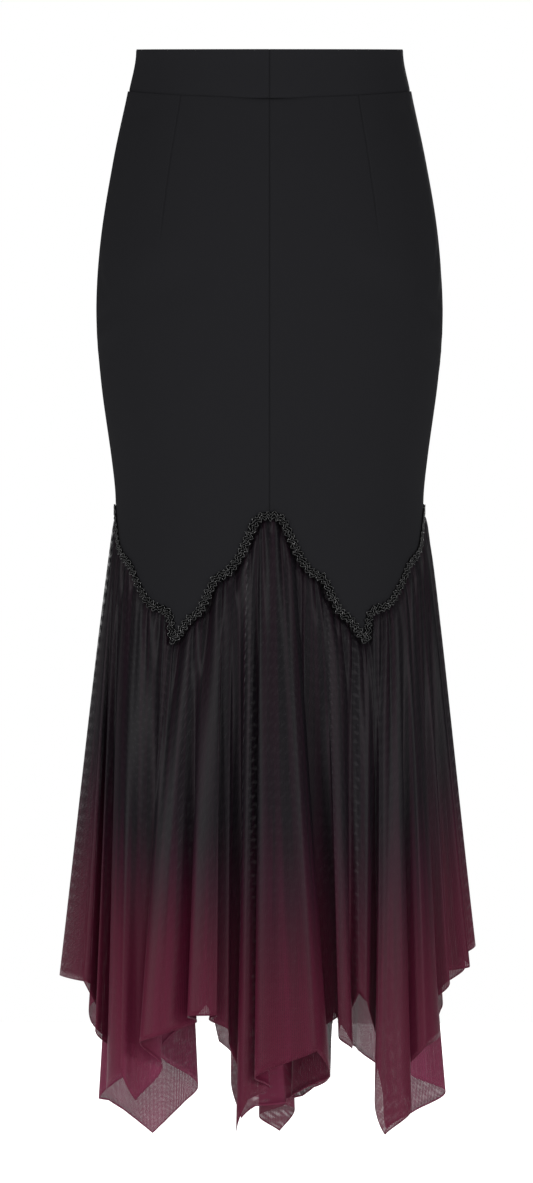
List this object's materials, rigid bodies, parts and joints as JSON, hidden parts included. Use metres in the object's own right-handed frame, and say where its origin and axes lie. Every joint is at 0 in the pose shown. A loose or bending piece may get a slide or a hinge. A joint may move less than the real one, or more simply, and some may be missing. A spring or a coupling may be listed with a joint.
{
  "type": "mermaid fishtail skirt",
  "caption": "Long fitted mermaid skirt with a scalloped, braid-trimmed lower edge and a gathered, dip-dyed mesh flounce with a handkerchief hem.",
  "frame": {"origin": "centre of the waist opening, level with the waistband's top edge at the side seams", "axes": "+Z from the hem up to the waist, -Y towards the front, +X towards the right of someone who looks at the front"},
  "size_m": [0.3996, 0.364, 1.0683],
  "materials": {
    "waistband_cloth": "matte",
    "body_cloth": "matte",
    "braid": "satin",
    "flounce_mesh": "matte"
  },
  "bodies": {
    "root": {"waistband_front_left": "waistband_cloth", "waistband_front_right": "waistband_cloth", "waistband_back": "waistband_cloth", "body_front_left": "body_cloth", "body_front_right": "body_cloth", "body_back": "body_cloth", "braid_trim": "braid", "flounce_front": "flounce_mesh", "flounce_back": "flounce_mesh"}
  },
  "joints": []
}
